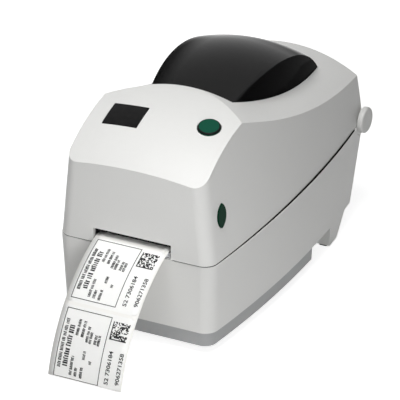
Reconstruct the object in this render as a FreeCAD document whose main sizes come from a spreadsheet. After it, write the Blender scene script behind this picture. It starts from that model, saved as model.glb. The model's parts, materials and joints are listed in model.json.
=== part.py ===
import FreeCAD, Part
import math
import os
import re

import Sketcher

# Desktop thermal label printer. Millimetres, +Z up, front towards -Y, origin on the table
# below the middle of the casing.

SIZES = {
    # Casing outline in plan, at the line where lid and base part
    "front_y": -104, "rear_y": 104, "half_front": 47.6, "half_rear": 44.7, "side_bow": 740,
    "wall": 2.5, "corner_round": 8,
    # Base: narrower towards the table, back wall leaning in
    "base_top": 62, "base_foot_front": -101.3, "base_foot_rear": 81, "base_draft": 2.1,
    "step_z": 13.5, "floor_z": 16, "skirt_z": 5, "skirt_inset": 0.8, "skirt_end": 20,
    "leg_front": 46, "leg_rear": 58, "leg_root": 70, "leg_z": 1.2, "leg_inner": 41,
    # Parting line, rising a little to the rear
    "split_front": 55.9, "split_rear": 60.5, "split_gap": 0.6,
    # Lid: sides lean in, a sloping crowned panel in front, a crowned top behind it
    "lid_foot": 48, "lid_head": 134, "lid_head_half": 39.6, "lid_head_bow": 3000,
    "panel_z": 105.3, "panel_arc": 100, "panel_crown": 260, "crease_y": -36, "crease_z": 127,
    "tail_y": 95, "tail_z": 100.7, "top_arc": 600, "top_crown": 92, "back_out": 1.4, "back_low": 60,
    "back_arc": 600,
    # Smoked window: a shallow dome standing in the top
    "win_half": 25.6, "win_front": -35, "win_rear": 76, "win_bow": 323, "win_wall": 2.2, "win_gap": 0.3,
    "dome_y": 6, "dome_z": 33.5, "dome_arc": 99, "dome_crown": 99,
    # Hinge across the rear
    "hinge_y": 94.5, "hinge_z": 61.5, "barrel": 9.2, "trough": 9.8, "pin": 3, "fit": 0.05,
    "ear_in": 34, "ear_out": 37.5, "ear_gap": 0.6, "ear": 8.8, "ear_root": 42, "ear_room": 13,
    "knob": 7.8, "knob_in": 46.6, "knob_out": 49.8, "knob_round": 1.2,
    # Labels: a roll, and a strip that runs over the platen and out of the front
    "media_x": -1.2, "label_half": 22.5, "roll_y": 14, "roll_z": 73, "roll": 50, "core": 19,
    "core_bore": 16.5, "hub": 16, "hub_reach": 5, "hub_gap": 0.5, "arm": 3, "rail": 2, "rail_z": 22,
    "rail_apart": 32, "web": 0.4, "web_gap": 0.35, "exit_y": -101, "exit_arc": 14, "hang_arc": 88,
    "hang_start": 20, "hang_turn": 54, "slot_half": 24, "slot_z": 64.8,
    # Print mechanism
    "platen_y": -88, "platen_z": 52.9, "platen": 7, "shaft": 3, "bush": 5, "plate": 1.5,
    "plate_left": -27.5, "plate_right": 25.1, "idler_y": -68, "idler_z": 37.9, "idler_axle": 2.5,
    "motor_y": -52, "motor_z": 49.9, "module_size": 1, "platen_teeth": 22, "idler_teeth": 28,
    "motor_teeth": 12, "gear_in": 25.9, "gear_out": 30.4, "motor_plate": 31.4, "motor": 14,
    "motor_end": 46.5, "motor_shaft": 2,
    # Print head and ribbon, carried by the lid
    "frame_left": -27, "frame_right": 24.5, "head_y": -70, "head_z": 74, "head_pin": 1.5,
    "head_foot": 61, "head_top": 68, "seat_z": 78, "spring": 2.9, "spindle": 4,
    "supply_y": -55, "supply_z": 88, "supply": 15, "takeup_y": -84, "takeup_z": 92, "takeup": 7.5,
    # Controls
    "button_x": 28.2, "button_y": -68.2, "button": 6.4, "button_proud": 1.1, "hole_gap": 0.45,
    "badge_x": -20.8, "badge_y": -73, "badge_wide": 21.3, "badge_deep": 15.6, "badge_sunk": 0.8,
    "latch_y": -88.5, "latch_z": 81.5, "latch_tall": 6.9, "latch_arc": 8, "latch_tilt": 12,
    "latch_in": 38, "latch_arm": 41, "catch_in": 41.4, "seat_x": 33,
    # Board and sockets at the back
    "board_y": 38, "board_z": 17.5, "board": 1.6, "rocker_x": -24, "rocker_s": 45.25, "rocker_tilt": 9,
}

doc = FreeCAD.newDocument("LabelPrinter")
sheet = doc.addObject("Spreadsheet::Sheet", "Sizes")
for row, (alias, value) in enumerate(SIZES.items(), 1):
    sheet.set(f"A{row}", alias)
    sheet.set(f"B{row}", str(value))
    sheet.setAlias(f"B{row}", alias)
doc.recompute()

V = FreeCAD.Vector
WORD = re.compile(r"[a-z][a-z_]+")


def number(formula):
    """Present value of a formula of sheet names."""
    return float(sheet.evalExpression(str(formula)))


def linked(formula):
    """The same formula with every sheet name made a reference to its cell."""
    return WORD.sub(lambda hit: f"Sizes.{hit.group()}" if hit.group() in SIZES else hit.group(),
                    str(formula))


def bind(thing, prop, formula):
    thing.setExpression(prop, linked(formula))
    return thing


def place(thing, x, y, z):
    for letter, formula in zip("xyz", (x, y, z)):
        bind(thing, f"Placement.Base.{letter}", formula)
    return thing


def box(name, xs, ys, zs):
    """Block between two corners, each coordinate a formula."""
    thing = doc.addObject("Part::Box", name)
    for prop, (low, high) in zip(("Length", "Width", "Height"), (xs, ys, zs)):
        bind(thing, prop, f"({high}) - ({low})")
    return place(thing, xs[0], ys[0], zs[0])


TURN = {"x": FreeCAD.Rotation(V(0, 1, 0), 90), "y": FreeCAD.Rotation(V(1, 0, 0), -90),
        "z": FreeCAD.Rotation()}


def rod(name, axis, radius, low, high, centre):
    """Cylinder along an axis, from low to high; centre is in the other two axes' order."""
    thing = doc.addObject("Part::Cylinder", name)
    bind(thing, "Radius", radius)
    bind(thing, "Height", f"({high}) - ({low})")
    thing.Placement = FreeCAD.Placement(V(), TURN[axis])
    spot = {"x": (low, *centre), "y": (centre[0], low, centre[1]), "z": (*centre, low)}[axis]
    return place(thing, *spot)


def join(name, *things):
    fused = doc.addObject("Part::MultiFuse", name)
    fused.Shapes = list(things)
    fused.Refine = True
    return fused


def group(name, *things):
    """Several separate solids kept as one sub-part."""
    held = doc.addObject("Part::Compound", name)
    held.Links = list(things)
    return held


def meet(name, *things):
    shared = doc.addObject("Part::MultiCommon", name)
    shared.Shapes = list(things)
    return shared


def cut(name, base, *tools):
    left = doc.addObject("Part::Cut", name)
    left.Base = base
    left.Tool = tools[0] if len(tools) == 1 else join(f"{name}_tools", *tools)
    return left


def origin_plane(body, role):
    return next(item for item in body.Origin.OriginFeatures if item.Role == role)


def bow_between(start, stop, radius, side):
    """Arc from start to stop, swelling left (+1) or right (-1) of the run, as an
    anticlockwise arc and the order in which its two ends are met."""
    chord = stop - start
    left = V(-chord.y, chord.x, 0).normalize()
    reach = math.sqrt(radius ** 2 - (chord.Length / 2) ** 2)
    centre = (start + stop) * 0.5 - left * reach * side
    low, high = (stop, start) if side > 0 else (start, stop)
    angles = [math.atan2(spot.y - centre.y, spot.x - centre.x) for spot in (low, high)]
    if angles[1] < angles[0]:
        angles[1] += 2 * math.pi
    arc = Part.ArcOfCircle(Part.Circle(centre, V(0, 0, 1), radius), *angles)
    return arc, (2, 1) if side > 0 else (1, 2)


def fixed(sketch, geo, end, pair):
    """Holds one point of a sketch at a pair of formulas."""
    for kind, formula in zip(("DistanceX", "DistanceY"), pair):
        spot = sketch.addConstraint(Sketcher.Constraint(kind, -1, 1, geo, end, number(formula)))
        bind(sketch, f"Constraints[{spot}]", formula)


def sized(sketch, geo, radius):
    spot = sketch.addConstraint(Sketcher.Constraint("Radius", geo, number(radius)))
    bind(sketch, f"Constraints[{spot}]", radius)


def new_sketch(body, name, role, height):
    sketch = body.newObject("Sketcher::SketchObject", name)
    sketch.AttachmentSupport = (origin_plane(body, role), [""])
    sketch.MapMode = "FlatFace"
    bind(sketch, "AttachmentOffset.Base.z", height)
    return sketch


def outline(body, name, role, points, bends=None, height="0", axis=None):
    """Closed outline through points (pairs of formulas). A bend {index: (radius, side)} makes the
    run from that point an arc; side +1 swells to the left of the run, -1 to the right. An axis is a
    pair of points for a construction line."""
    bends = bends or {}
    sketch = new_sketch(body, name, role, height)
    spots = [V(number(a), number(b), 0) for a, b in points]
    ends = []
    for index, start in enumerate(spots):
        stop = spots[(index + 1) % len(spots)]
        if index in bends:
            curve, order = bow_between(start, stop, number(bends[index][0]), bends[index][1])
        else:
            curve, order = Part.LineSegment(start, stop), (1, 2)
        sketch.addGeometry(curve)
        ends.append(order)
    for index in range(len(spots)):
        after = (index + 1) % len(spots)
        sketch.addConstraint(Sketcher.Constraint(
            "Coincident", index, ends[index][1], after, ends[after][0]))
    for index, pair in enumerate(points):
        fixed(sketch, index, ends[index][0], pair)
    for index, (radius, side) in bends.items():
        sized(sketch, index, radius)
    if axis:
        line = sketch.addGeometry(Part.LineSegment(*[V(number(a), number(b), 0) for a, b in axis]), True)
        for end, pair in enumerate(axis, 1):
            fixed(sketch, line, end, pair)
    return sketch


def plan(body, name, height, corners, bow, rounding):
    """Plan outline: straight front and rear, sides bowed outwards through the four corner points,
    and round corners tangent to both."""
    sketch = new_sketch(body, name, "XY_Plane", height)
    (half_front, front), (half_rear, rear) = corners
    big, small = number(bow), number(rounding)
    sharp = [V(number(half_front), number(front), 0), V(number(half_rear), number(rear), 0)]
    side, order = bow_between(sharp[0], sharp[1], big, -1)
    centre = side.Center
    rounds = []
    for spot, sense in zip(sharp, (1, -1)):
        y = spot.y + sense * small
        middle = V(centre.x + math.sqrt((big - small) ** 2 - (y - centre.y) ** 2), y, 0)
        rounds.append((middle, V(middle.x, spot.y, 0), centre + (middle - centre).normalize() * big))
    (front_middle, front_end, front_side), (rear_middle, rear_end, rear_side) = rounds
    mirror = lambda spot: V(-spot.x, spot.y, 0)

    def arc(middle, start, stop, radius):
        angles = [math.atan2(spot.y - middle.y, spot.x - middle.x) for spot in (start, stop)]
        if angles[1] < angles[0]:
            angles[1] += 2 * math.pi
        return Part.ArcOfCircle(Part.Circle(middle, V(0, 0, 1), radius), *angles)

    runs = [Part.LineSegment(mirror(front_end), front_end),
            arc(front_middle, front_end, front_side, small),
            arc(centre, front_side, rear_side, big),
            arc(rear_middle, rear_side, rear_end, small),
            Part.LineSegment(rear_end, mirror(rear_end)),
            arc(mirror(rear_middle), mirror(rear_end), mirror(rear_side), small),
            arc(mirror(centre), mirror(rear_side), mirror(front_side), big),
            arc(mirror(front_middle), mirror(front_side), mirror(front_end), small)]
    for run in runs:
        sketch.addGeometry(run)
    for index in range(8):
        sketch.addConstraint(Sketcher.Constraint("Tangent", index, 2, (index + 1) % 8, 1))
    for index in (1, 3, 5, 7):
        sized(sketch, index, rounding)
    for index in (2, 6):
        sized(sketch, index, bow)
    for index, formula in ((0, front), (4, rear)):
        sketch.addConstraint(Sketcher.Constraint("Horizontal", index))
        spot = sketch.addConstraint(Sketcher.Constraint("DistanceY", -1, 1, index, 1, number(formula)))
        bind(sketch, f"Constraints[{spot}]", formula)
    for sign, index in (("", 2), ("-", 6)):
        for half, y in corners:
            pair = (f"{sign}({half})", y)
            geo = sketch.addGeometry(Part.Point(V(number(pair[0]), number(y), 0)), True)
            fixed(sketch, geo, 1, pair)
            sketch.addConstraint(Sketcher.Constraint("PointOnObject", geo, 1, index))
    return sketch


def slab(name, points, xs, bends=None):
    """Side-view outline (y, z pairs) given a thickness between two x positions."""
    body = doc.addObject("PartDesign::Body", name)
    sketch = outline(body, f"{name}_side", "YZ_Plane", points, bends, height=xs[0])
    pad = body.newObject("PartDesign::Pad", f"{name}_pad")
    pad.Profile = sketch
    bind(pad, "Length", f"({xs[1]}) - ({xs[0]})")
    return body


def turned(name, points, axis, angle, bends=None):
    """Side-view outline turned about an axis that lies in the same view."""
    body = doc.addObject("PartDesign::Body", name)
    sketch = outline(body, f"{name}_side", "YZ_Plane", points, bends, axis=axis)
    turn = body.newObject("PartDesign::Revolution", f"{name}_turn")
    turn.Profile = sketch
    turn.ReferenceAxis = (sketch, ["Axis0"])
    turn.Angle = angle
    turn.Midplane = True
    return body


def tower(name, sections, rounding):
    """Casing form lofted straight between plan outlines; each section is
    (z, half width in front, front y, half width behind, rear y, bow radius)."""
    body = doc.addObject("PartDesign::Body", name)
    plans = []
    for index, (z, half_front, front, half_rear, rear, bow) in enumerate(sections):
        plans.append(plan(body, f"{name}_plan{index}", z, [(half_front, front), (half_rear, rear)],
                          bow, rounding))
    loft = body.newObject("PartDesign::AdditiveLoft", f"{name}_loft")
    loft.Profile = plans[0]
    loft.Sections = plans[1:]
    loft.Ruled = True
    return body


# Casing forms

def base_form(name, inset):
    return tower(name, [
        ("0", f"half_front - base_draft - {inset}", f"base_foot_front + {inset}",
         f"half_rear + 0.6 - {inset}", f"base_foot_rear - {inset}", f"side_bow - {inset}"),
        ("base_top", f"half_front - {inset}", f"front_y + {inset}",
         f"half_rear - {inset}", f"rear_y - {inset}", f"side_bow - {inset}")],
        f"corner_round - {inset}")


def lid_form(name, inset):
    return tower(name, [
        ("lid_foot", f"half_front - {inset}", f"front_y + {inset}",
         f"half_rear - {inset}", f"rear_y - {inset}", f"side_bow - {inset}"),
        ("lid_head", f"lid_head_half - {inset}", f"front_y + {inset}",
         f"lid_head_half - {inset}", f"rear_y - {inset}", f"lid_head_bow - {inset}")],
        f"corner_round - {inset}")


def panel_form(name, drop):
    """Everything below the sloping front panel, crowned about an axis far below."""
    depth = f"panel_z - panel_crown - {drop}"
    points = [("front_y - 4", "30"), ("front_y - 4", f"panel_z - 4 - {drop}"),
              ("front_y", f"panel_z - {drop}"), ("crease_y", f"crease_z - {drop}"),
              ("rear_y + 8", f"crease_z - {drop}"), ("rear_y + 8", "30")]
    return turned(name, points, [("front_y", depth), ("rear_y", depth)], 44, {2: ("panel_arc", 1)})


def top_form(name, drop):
    """Everything below the crowned top behind the crease, with the lid's curved back."""
    fall = "(tail_z - crease_z) / (tail_y - crease_y)"
    lead = f"(crease_z - {drop} + 0.32 * (crease_y - front_y + 6))"
    axis = [("front_y - 6", f"crease_z - top_crown - {drop} + {fall} * (front_y - 6 - crease_y)"),
            ("rear_y", f"crease_z - top_crown - {drop} + {fall} * (rear_y - crease_y)")]
    rear = f"rear_y + back_out - {drop}"
    points = [axis[0], ("front_y - 6", lead), ("crease_y", f"crease_z - {drop}"),
              (f"tail_y - {drop}", f"tail_z - {drop}"), (rear, "back_low"),
              (rear, f"crease_z - top_crown - {drop} + {fall} * ({rear} - crease_y)")]
    return turned(name, points, axis, 360, {2: ("top_arc", -1), 3: ("back_arc", 1)})


def split_form(name, upper):
    """Side block above (or below) the parting line, half the gap away from it."""
    rise = "(split_rear - split_front) / (rear_y - front_y)"
    shift = "split_gap / 2" if upper else "-split_gap / 2"
    front = f"split_front - 20 * {rise} + {shift}"
    rear = f"split_rear + 20 * {rise} + {shift}"
    far = "160" if upper else "-20"
    return slab(name, [("front_y - 20", front), ("rear_y + 20", rear), ("rear_y + 20", far),
                       ("front_y - 20", far)], ("-70", "70"))


WIDE = ("-70", "70")
DEEP = ("-120", "120")
SIDES = ("left", "right")
HINGE = ("hinge_y", "hinge_z")
PLATEN = ("platen_y", "platen_z")
IDLER = ("idler_y", "idler_z")
MOTOR = ("motor_y", "motor_z")
ROLL = ("roll_y", "roll_z")
HEAD = ("head_y", "head_z")
SUPPLY = ("supply_y", "supply_z")
TAKEUP = ("takeup_y", "takeup_z")


def on_side(side, low, high):
    """An x range given for the right-hand side, mirrored for the left."""
    return (low, high) if side == "right" else (f"-({high})", f"-({low})")


def tube(name, centre, outer, inner, xs):
    """Ring along X."""
    bar = rod(f"{name}_bar", "x", outer, *xs, centre)
    bore = rod(f"{name}_bore", "x", inner, f"({xs[0]}) - 1", f"({xs[1]}) + 1", centre)
    return cut(name, bar, bore)


def almond(name, xs, grow):
    """Pointed oval of the latches, its top leaning to the rear."""
    half = f"(latch_tall + {grow})"
    low = (f"latch_y - {half} * sin(latch_tilt)", f"latch_z - {half} * cos(latch_tilt)")
    high = (f"latch_y + {half} * sin(latch_tilt)", f"latch_z + {half} * cos(latch_tilt)")
    return slab(name, [low, high], xs, {0: (f"latch_arc + {grow}", -1), 1: (f"latch_arc + {grow}", -1)})


def dome_form(name, drop):
    """Everything below the window's dome."""
    axis_z = "dome_z + dome_arc - dome_crown"
    arc = f"(dome_arc - {drop})"
    ends = [(y, f"dome_z + sqrt({arc} ^ 2 - ({y} - dome_y) ^ 2)") for y in ("-60", "85")]
    return turned(name, [("-60", axis_z), *ends, ("85", axis_z)], [("-60", axis_z), ("85", axis_z)], 120,
                  {1: (arc, 1)})


def window_block(name, grow, zs):
    """Upright block with the window's plan: straight front and rear, sides bowed outwards."""
    half, bow = f"(win_half + {grow})", f"win_bow + {grow}"
    front, rear = f"win_front - {grow}", f"win_rear + {grow}"
    body = doc.addObject("PartDesign::Body", name)
    corners = [(f"-{half}", front), (half, front), (half, rear), (f"-{half}", rear)]
    sketch = outline(body, f"{name}_plan", "XY_Plane", corners, {1: (bow, -1), 3: (bow, -1)}, height=zs[0])
    pad = body.newObject("PartDesign::Pad", f"{name}_pad")
    pad.Profile = sketch
    bind(pad, "Length", f"({zs[1]}) - ({zs[0]})")
    return body


# The back wall leans outwards; blocks and bars square to it

BACK_RUN = "sqrt((rear_y - base_foot_rear) ^ 2 + base_top ^ 2)"
BACK_SIN = f"((rear_y - base_foot_rear) / {BACK_RUN})"
BACK_COS = f"(base_top / {BACK_RUN})"
BACK_LEAN = math.degrees(math.asin(number(BACK_SIN)))


def at_back(thing, x, depth, height, turn=0):
    """Places a thing on the back wall: depth outwards from it, height measured up along it."""
    thing.Placement = FreeCAD.Placement(V(), FreeCAD.Rotation(V(1, 0, 0), turn - BACK_LEAN))
    return place(thing, x, f"base_foot_rear + ({height}) * {BACK_SIN} + ({depth}) * {BACK_COS}",
                 f"({height}) * {BACK_COS} - ({depth}) * {BACK_SIN}")


def back_box(name, xs, depths, heights):
    thing = doc.addObject("Part::Box", name)
    for prop, (low, high) in zip(("Length", "Width", "Height"), (xs, depths, heights)):
        bind(thing, prop, f"({high}) - ({low})")
    return at_back(thing, xs[0], depths[0], heights[0])


def back_rod(name, radius, depths, x, height):
    thing = doc.addObject("Part::Cylinder", name)
    bind(thing, "Radius", radius)
    bind(thing, "Height", f"({depths[1]}) - ({depths[0]})")
    return at_back(thing, x, depths[0], height, -90)


# Things standing square to the sloping front panel

def panel_spot(x, y):
    """Point of the panel's outer face above (x, y), and the turn that stands square to it."""
    start = V(number("front_y"), number("panel_z"), 0)
    stop = V(number("crease_y"), number("crease_z"), 0)
    arc = bow_between(start, stop, number("panel_arc"), 1)[0]
    rise = math.sqrt(arc.Radius ** 2 - (y - arc.Center.x) ** 2)
    depth = number("panel_z - panel_crown")
    reach = arc.Center.y + rise - depth
    z = depth + math.sqrt(reach ** 2 - x ** 2)
    normal = V(x / reach, (y - arc.Center.x) / rise, (z - depth) / reach)
    return V(x, y, z), FreeCAD.Rotation(V(0, 0, 1), normal)


BUTTON_SPOT, BUTTON_TURN = panel_spot(number("button_x"), number("button_y"))


def at_button(thing, x, y, z):
    """Places a thing by the feed button: z out of the panel."""
    thing.Placement = FreeCAD.Placement(BUTTON_SPOT + BUTTON_TURN.multVec(V(x, y, z)), BUTTON_TURN)
    return thing


def button_rod(name, radius, low, high, x=0, y=0):
    thing = doc.addObject("Part::Cylinder", name)
    bind(thing, "Radius", radius)
    thing.Height = high - low
    return at_button(thing, x, y, low)


def button_box(name, wide, low, high):
    thing = doc.addObject("Part::Box", name)
    thing.Length = wide
    thing.Width = wide
    thing.Height = high - low
    return at_button(thing, -wide / 2, -wide / 2, low)


# Toothed and bent shapes

PRESSURE = math.radians(20)


def involute(angle):
    return math.tan(angle) - angle


def spur_gear(name, teeth, centre, phase, bore):
    """Spur gear along X. Phase is where the middle of one tooth lies, from +Y towards +Z."""
    count = int(number(teeth))
    pitch = number("module_size") * count / 2
    base = pitch * math.cos(PRESSURE)
    root = pitch - 1.2 * number("module_size")
    tip = pitch + 0.8 * number("module_size")
    half = math.pi / (2 * count) - 0.09 / pitch + involute(PRESSURE)
    radii = [root] + [max(base, root) + (tip - max(base, root)) * step / 5 for step in range(6)]
    flank = [(r, half - involute(math.acos(min(1, base / r)))) for r in radii]
    x = number("gear_in")
    points = []
    for tooth in range(count):
        middle = phase + tooth * 2 * math.pi / count
        for r, wide in flank:
            points.append(V(x, r * math.cos(middle - wide), r * math.sin(middle - wide)))
        for r, wide in reversed(flank):
            points.append(V(x, r * math.cos(middle + wide), r * math.sin(middle + wide)))
    disc = Part.Face(Part.makePolygon(points + points[:1])).extrude(V(number("gear_out") - x, 0, 0))
    if bore:
        disc = disc.cut(Part.makeCylinder(number(bore), 20, V(x - 5, 0, 0), V(1, 0, 0)))
    thing = doc.addObject("Part::Feature", name)
    thing.Shape = disc
    return place(thing, "0", *centre)


def gear_phases():
    """Tooth positions that put platen gear, idler and pinion in mesh."""
    spots = [V(0, number(y), number(z)) for y, z in (PLATEN, IDLER, MOTOR)]
    aims = [math.atan2((b - a).z, (b - a).y) for a, b in zip(spots, spots[1:])]
    counts = [number(name) for name in ("platen_teeth", "idler_teeth", "motor_teeth")]
    first = aims[0]
    second = aims[0] + math.pi + math.pi / counts[1]
    ahead = (second - aims[1]) % (2 * math.pi / counts[1])
    third = aims[1] + math.pi - ahead * counts[1] / counts[2] + math.pi / counts[2]
    return first, second, third


def round_edge(centre, radius, start, stop):
    """Arc in side view, from one angle to another."""
    angles = (start, (start + stop) / 2, stop)
    spots = [centre + V(0, radius * math.cos(a), radius * math.sin(a)) for a in angles]
    return Part.Arc(*spots).toShape(), spots[0], spots[2]


def web_strip(name):
    """Label web: off the roll's underside, over the platen, out over the tear bar and down in a curve."""
    half = number("web / 2")
    roll = V(0, number("roll_y"), number("roll_z"))
    platen = V(0, number("platen_y"), number("platen_z"))
    roll_reach = number("roll + web_gap") + half
    lift = number("platen + web_gap") + half
    apart = roll - platen
    aim = math.atan2(apart.z, apart.y) - math.asin((roll_reach + lift) / apart.Length)
    square = V(0, -math.sin(aim), math.cos(aim))
    turn = number("exit_arc")
    hang = number("hang_arc")
    lean = math.radians(90 + number("hang_start"))
    last = lean + math.radians(number("hang_turn"))
    bend = V(0, number("exit_y"), platen.z + lift - turn)
    fall = bend + V(0, math.cos(lean), math.sin(lean)) * (turn - hang)
    chains = []
    for shift in (half, -half):
        leave = roll - square * (roll_reach - shift)
        top, top_in, top_out = round_edge(platen, lift + shift, aim + math.pi / 2, math.pi / 2)
        exit_bend, bend_in, bend_out = round_edge(bend, turn + shift, math.pi / 2, lean)
        drop, drop_in, drop_out = round_edge(fall, hang + shift, lean, last)
        edges = [Part.makeLine(leave, top_in), top, Part.makeLine(top_out, bend_in), exit_bend, drop]
        chains.append((edges, leave, drop_out))
    (upper, upper_in, upper_out), (lower, lower_in, lower_out) = chains
    edges = upper + [Part.makeLine(upper_out, lower_out)] + lower + [Part.makeLine(lower_in, upper_in)]
    face = Part.Face(Part.Wire(Part.__sortEdges__(edges)))
    thing = doc.addObject("Part::Feature", name)
    thing.Shape = face.extrude(V(number("2 * label_half"), 0, 0))
    print(f"{name}: {sum(edge.Length for edge in upper):.1f} mm long on its upper face")
    return place(thing, "media_x - label_half", "0", "0")


def comb(name, xs, ys, tooth, pitch, zs):
    """Flat bar with a row of pointed teeth along its front edge."""
    (left, right), (front, rear), (low, high) = [[number(end) for end in pair] for pair in (xs, ys, zs)]
    points = [V(left, rear, low), V(right, rear, low)]
    count = int((right - left) / pitch)
    step = (right - left) / count
    for index in range(count):
        points.append(V(right - index * step, front, low))
        points.append(V(right - (index + 0.5) * step, front - tooth, low))
    points.append(V(left, front, low))
    thing = doc.addObject("Part::Feature", name)
    thing.Shape = Part.Face(Part.makePolygon(points + points[:1])).extrude(V(0, 0, high - low))
    return thing


# Base casing

base_outer = base_form("base_outer", "0")
base_solid = meet("base_solid", base_outer, split_form("below_split", False),
                  box("above_step", WIDE, DEEP, ("step_z", "90")))
base_hollow = meet("base_hollow", base_form("base_inner", "wall"),
                   box("above_floor", WIDE, DEEP, ("floor_z", "90")))
leg_block = slab("leg_block", [("leg_front", "leg_z"), ("leg_rear", "leg_z"), ("leg_root", "step_z"),
                               ("leg_root", "step_z + 1"), ("leg_front", "step_z + 1")], WIDE)
legs = cut("legs", meet("leg_pair", leg_block, base_outer),
           box("leg_space", ("-leg_inner", "leg_inner"), DEEP, ("0", "step_z")))
catches = [meet(f"catch_{side}", base_outer,
                box(f"catch_block_{side}", on_side(side, "catch_in", "60"),
                    ("latch_y - 5.5", "latch_y + 5.5"), ("50", "54"))) for side in SIDES]
board_posts = [rod(f"board_post{index}", "z", "3", "floor_z - 0.5", "board_z", (x, y))
               for index, (x, y) in enumerate((x, y) for x in ("-34", "34") for y in ("42", "76"))]
SCREWS = [(x, y) for x in ("-36", "36") for y in ("-62", "8")]
screw_bores = [rod(f"screw_bore{index}", "z", "1.5 + fit", "step_z - 1", "15.7", spot)
               for index, spot in enumerate(SCREWS)]
socket_holes = [back_box("inlet_hole", ("-36.25", "-23.75"), ("-8", "4"), ("22.75", "35.25")),
                back_box("usb_hole", ("-14.25", "-1.75"), ("-8", "4"), ("22.75", "34.25")),
                back_box("serial_hole", ("8.75", "30.25"), ("-8", "4"), ("23.75", "33.85")),
                back_box("rocker_hole", ("rocker_x - 6.25", "rocker_x + 6.25"), ("-8", "4"),
                         ("rocker_s - 5.25", "rocker_s + 5.25"))]
base_body = join("base_body", cut("base_raw", base_solid, base_hollow), legs, *catches, *board_posts)
base_opened = cut("base_opened", base_body, rod("trough_bar", "x", "trough", "-70", "70", HINGE),
                  box("hinge_room", WIDE, ("hinge_y", "120"), ("hinge_z - trough", "90")),
                  *socket_holes, *screw_bores)
ears = []
for side in SIDES:
    span = on_side(side, "ear_in", "ear_out")
    foot = box(f"ear_foot_{side}", span, ("hinge_y - 6.5", "hinge_y + 6.5"), ("ear_root", "hinge_z"))
    ears += [rod(f"ear_disc_{side}", "x", "ear", *span, HINGE), meet(f"ear_leg_{side}", foot, base_outer)]
base_shell = cut("base_shell", join("base_hinged", base_opened, *ears),
                 rod("ear_bore", "x", "pin + fit", "-45", "45", HINGE))

# Plinth, feet and screws under the base

plinth_block = meet("plinth_block", base_form("plinth_outer", "skirt_inset"),
                    box("plinth_span", WIDE, ("-120", "skirt_end"), ("skirt_z", "step_z")))
plinth_space = meet("plinth_space", base_form("plinth_inner", "(skirt_inset + 2)"),
                    box("plinth_room", WIDE, ("-120", "skirt_end - 2"), ("skirt_z + 2", "step_z + 1")))
plinth_posts = [rod(f"plinth_post{index}", "z", "4.5", "skirt_z + 1", "step_z", spot)
                for index, spot in enumerate(SCREWS)]
plinth_bores = []
for index, spot in enumerate(SCREWS):
    plinth_bores += [rod(f"head_bore{index}", "z", "3.3", "skirt_z - 1", "10", spot),
                     rod(f"shank_bore{index}", "z", "1.75", "9", "step_z + 1", spot)]
plinth = cut("plinth", join("plinth_body", cut("plinth_tray", plinth_block, plinth_space), *plinth_posts),
             *plinth_bores)
base_screws = group("base_screws", *[
    join(f"screw{index}", rod(f"screw_head{index}", "z", "3", "7.5", "10", spot),
         rod(f"screw_shank{index}", "z", "1.5", "9", "15.5", spot)) for index, spot in enumerate(SCREWS)])
PLINTH_FEET = [("-34", "-84"), ("34", "-84"), ("0", "0")]
rubber_feet = group("rubber_feet", *[rod(f"plinth_foot{index}", "z", "6", "0", "skirt_z", spot)
                                     for index, spot in enumerate(PLINTH_FEET)],
                    *[box(f"rear_pad_{side}", on_side(side, "leg_inner + 1", "leg_inner + 5.5"),
                          ("leg_front + 1", "leg_rear - 1"), ("0", "leg_z")) for side in SIDES])

# Print mechanism in the base

plate_side = [("-98", "floor_z"), ("-42", "floor_z"), ("-42", "34"), ("-76", "66"), ("-98", "66")]
frame_body = join("frame_body", slab("left_plate", plate_side, ("plate_left", "plate_left + plate")),
                  slab("right_plate", plate_side, ("plate_right - plate", "plate_right")),
                  slab("motor_side", [("-68", "floor_z"), ("-36", "floor_z"), ("-36", "54"), ("-48", "66"),
                                       ("-68", "66")], ("motor_plate", "motor_plate + plate")),
                  box("frame_bed", ("plate_left", "motor_plate + plate"), ("-98", "-36"),
                      ("floor_z", "floor_z + plate")),
                  box("sensor_bar", ("plate_left", "plate_right"), ("-73", "-67"), ("41", "44")))
mech_frame = cut("mech_frame", frame_body, rod("bush_bore", "x", "bush + fit", "-30", "28", PLATEN),
                 rod("axle_bore", "x", "idler_axle + fit", "23", "27", IDLER),
                 rod("motor_bore", "x", "motor_shaft + 1", "31", "34", MOTOR))
platen_roller = tube("platen_roller", PLATEN, "platen", "shaft + fit", ("-24.7", "22.3"))
platen_shaft = rod("platen_shaft", "x", "shaft", "-29", "gear_out", PLATEN)
platen_bush_left = tube("platen_bush_left", PLATEN, "bush", "shaft + fit", ("-28.2", "-25.3"))
platen_bush_right = tube("platen_bush_right", PLATEN, "bush", "shaft + fit", ("22.9", "25.5"))
phases = gear_phases()
platen_gear = spur_gear("platen_gear", "platen_teeth", PLATEN, phases[0], "shaft + fit")
idler_gear = spur_gear("idler_gear", "idler_teeth", IDLER, phases[1], "idler_axle + fit")
idler_axle = rod("idler_axle", "x", "idler_axle", "plate_right - plate", "motor_plate - 0.3", IDLER)
motor_pinion = join("motor_pinion", spur_gear("pinion_teeth", "motor_teeth", MOTOR, phases[2], None),
                    rod("pinion_shaft", "x", "motor_shaft", "gear_in", "38", MOTOR))
motor_can = rod("motor_can", "x", "motor", "motor_plate + plate", "motor_end", MOTOR)
stepper_motor = cut("stepper_motor", motor_can,
                    rod("shaft_bore", "x", "motor_shaft + fit", "motor_plate", "39", MOTOR))
tear_bar = comb("tear_bar", ("media_x - slot_half + 0.4", "media_x + slot_half - 0.4"), ("-102", "-98.6"), 1,
                2, ("55.8", "59.6"))
media_sensor = box("media_sensor", ("-6", "6"), ("-74", "-66"), ("44", "47"))

# Labels, and the holders that carry the roll

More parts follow.
